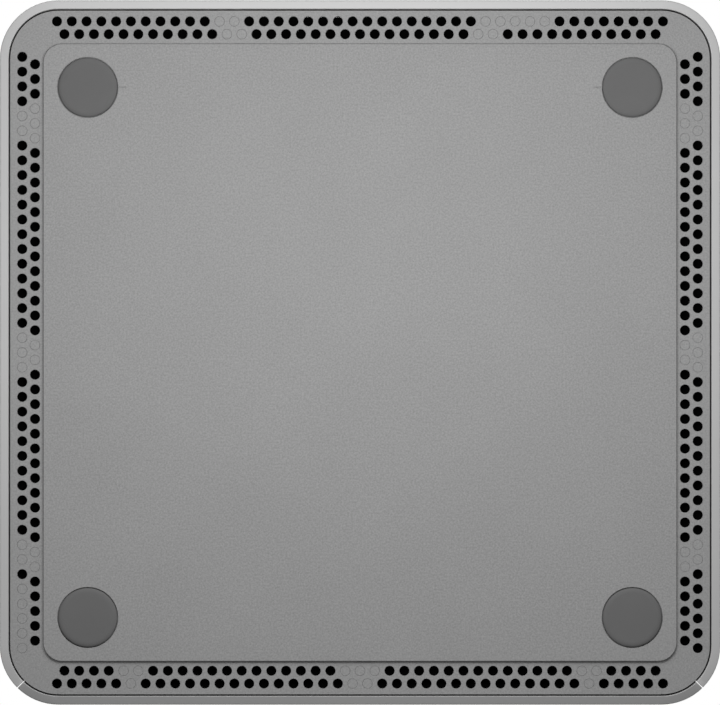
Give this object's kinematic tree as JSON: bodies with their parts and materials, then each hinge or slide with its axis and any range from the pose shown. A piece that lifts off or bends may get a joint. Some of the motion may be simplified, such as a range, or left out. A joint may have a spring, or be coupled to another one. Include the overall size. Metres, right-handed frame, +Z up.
{
  "type": "mini pc",
  "caption": "Low square metal computer case on four low round feet, with a perforated bottom cover, blower cooler, board and front and rear sockets.",
  "frame": {"origin": "middle of the footprint, on the plane that the feet rest on", "axes": "+X to the right seen from the front, +Y towards the rear sockets, +Z up through the top plate"},
  "size_m": [0.135, 0.132, 0.0455],
  "materials": {
    "shell_metal": "fine bead-blasted, anodised silver",
    "panel_metal": "fine bead-blasted, anodised grey",
    "cover_plastic": "fine spark texture",
    "foot_rubber": "matt",
    "dark_steel": "black oxide",
    "plain_steel": "zinc plated",
    "filter_mesh": "fine nylon mesh",
    "board_laminate": "solder mask",
    "module_laminate": "solder mask",
    "copper": "bare copper",
    "sink_aluminium": "milled",
    "brass": "plated",
    "black_plastic": "moulded",
    "cream_plastic": "moulded",
    "blue_plastic": "moulded",
    "chip_plastic": "moulded epoxy",
    "black_sheath": "smooth",
    "grey_sheath": "smooth",
    "pad": "soft thermal pad",
    "port_steel": "nickel plated",
    "clear_plastic": "clear",
    "can_aluminium": "plain",
    "flex_foil": "amber foil"
  },
  "bodies": {
    "case": {"unibody_shell": "shell_metal", "rear_panel": "panel_metal", "bottom_cover": "cover_plastic", "front_left_foot": "foot_rubber", "front_right_foot": "foot_rubber", "rear_left_foot": "foot_rubber", "rear_right_foot": "foot_rubber", "cover_screws": "dark_steel", "dust_filter": "filter_mesh", "main_board": "board_laminate", "board_screws": "plain_steel", "processor": "module_laminate", "cold_plate": "copper", "heat_pipes": "copper", "heat_sink": "sink_aluminium", "cooler_standoffs": "brass", "cooler_screws": "plain_steel", "fan_housing": "black_plastic", "fan_cover": "plain_steel", "fan_motor": "plain_steel", "fan_screws": "dark_steel", "fan_header": "cream_plastic", "fan_plug": "cream_plastic", "fan_lead": "black_sheath", "inner_memory_socket": "black_plastic", "outer_memory_socket": "black_plastic", "inner_memory_module": "module_laminate", "outer_memory_module": "module_laminate", "drive_socket": "black_plastic", "drive_card": "module_laminate", "drive_pad": "pad", "drive_heat_sink": "dark_steel", "wireless_socket": "black_plastic", "wireless_card": "module_laminate", "card_standoffs": "brass", "card_screws": "plain_steel", "left_antenna": "flex_foil", "right_antenna": "flex_foil", "left_antenna_lead": "black_sheath", "right_antenna_lead": "grey_sheath", "coin_cell_holder": "black_plastic", "coin_cell": "plain_steel", "power_socket": "black_plastic", "power_socket_pin": "port_steel", "video_socket_shells": "port_steel", "video_socket_tongues": "black_plastic", "network_socket": "port_steel", "rear_usb_shells": "port_steel", "rear_usb_tongues": "blue_plastic", "front_usb_shells": "port_steel", "front_usb_tongues": "blue_plastic", "headset_socket": "black_plastic", "button_guide": "black_plastic", "button_switch": "black_plastic", "light_pipe": "clear_plastic", "power_chokes": "chip_plastic", "capacitors": "can_aluminium"},
    "button": {"power_button": "shell_metal"},
    "plunger": {"switch_plunger": "cream_plastic"},
    "fan_wheel": {"fan_rotor": "black_plastic"}
  },
  "joints": [
    {"name": "button_press", "type": "slide", "parent": "case", "child": "button", "axis": [0, 1, 0], "range_m": [0, 0.00035], "stiffness_N_per_m": 4000},
    {"name": "plunger_press", "type": "slide", "parent": "case", "child": "plunger", "axis": [0, 1, 0], "range_m": [0, 0.00035]},
    {"name": "fan_spin", "type": "hinge", "parent": "case", "child": "fan_wheel", "pos_m": [0, 0, 0.0355], "axis": [0, 0, 1], "continuous": true}
  ],
  "couplings": [
    {"joint": "plunger_press", "follows": "button_press", "ratio": 1}
  ]
}
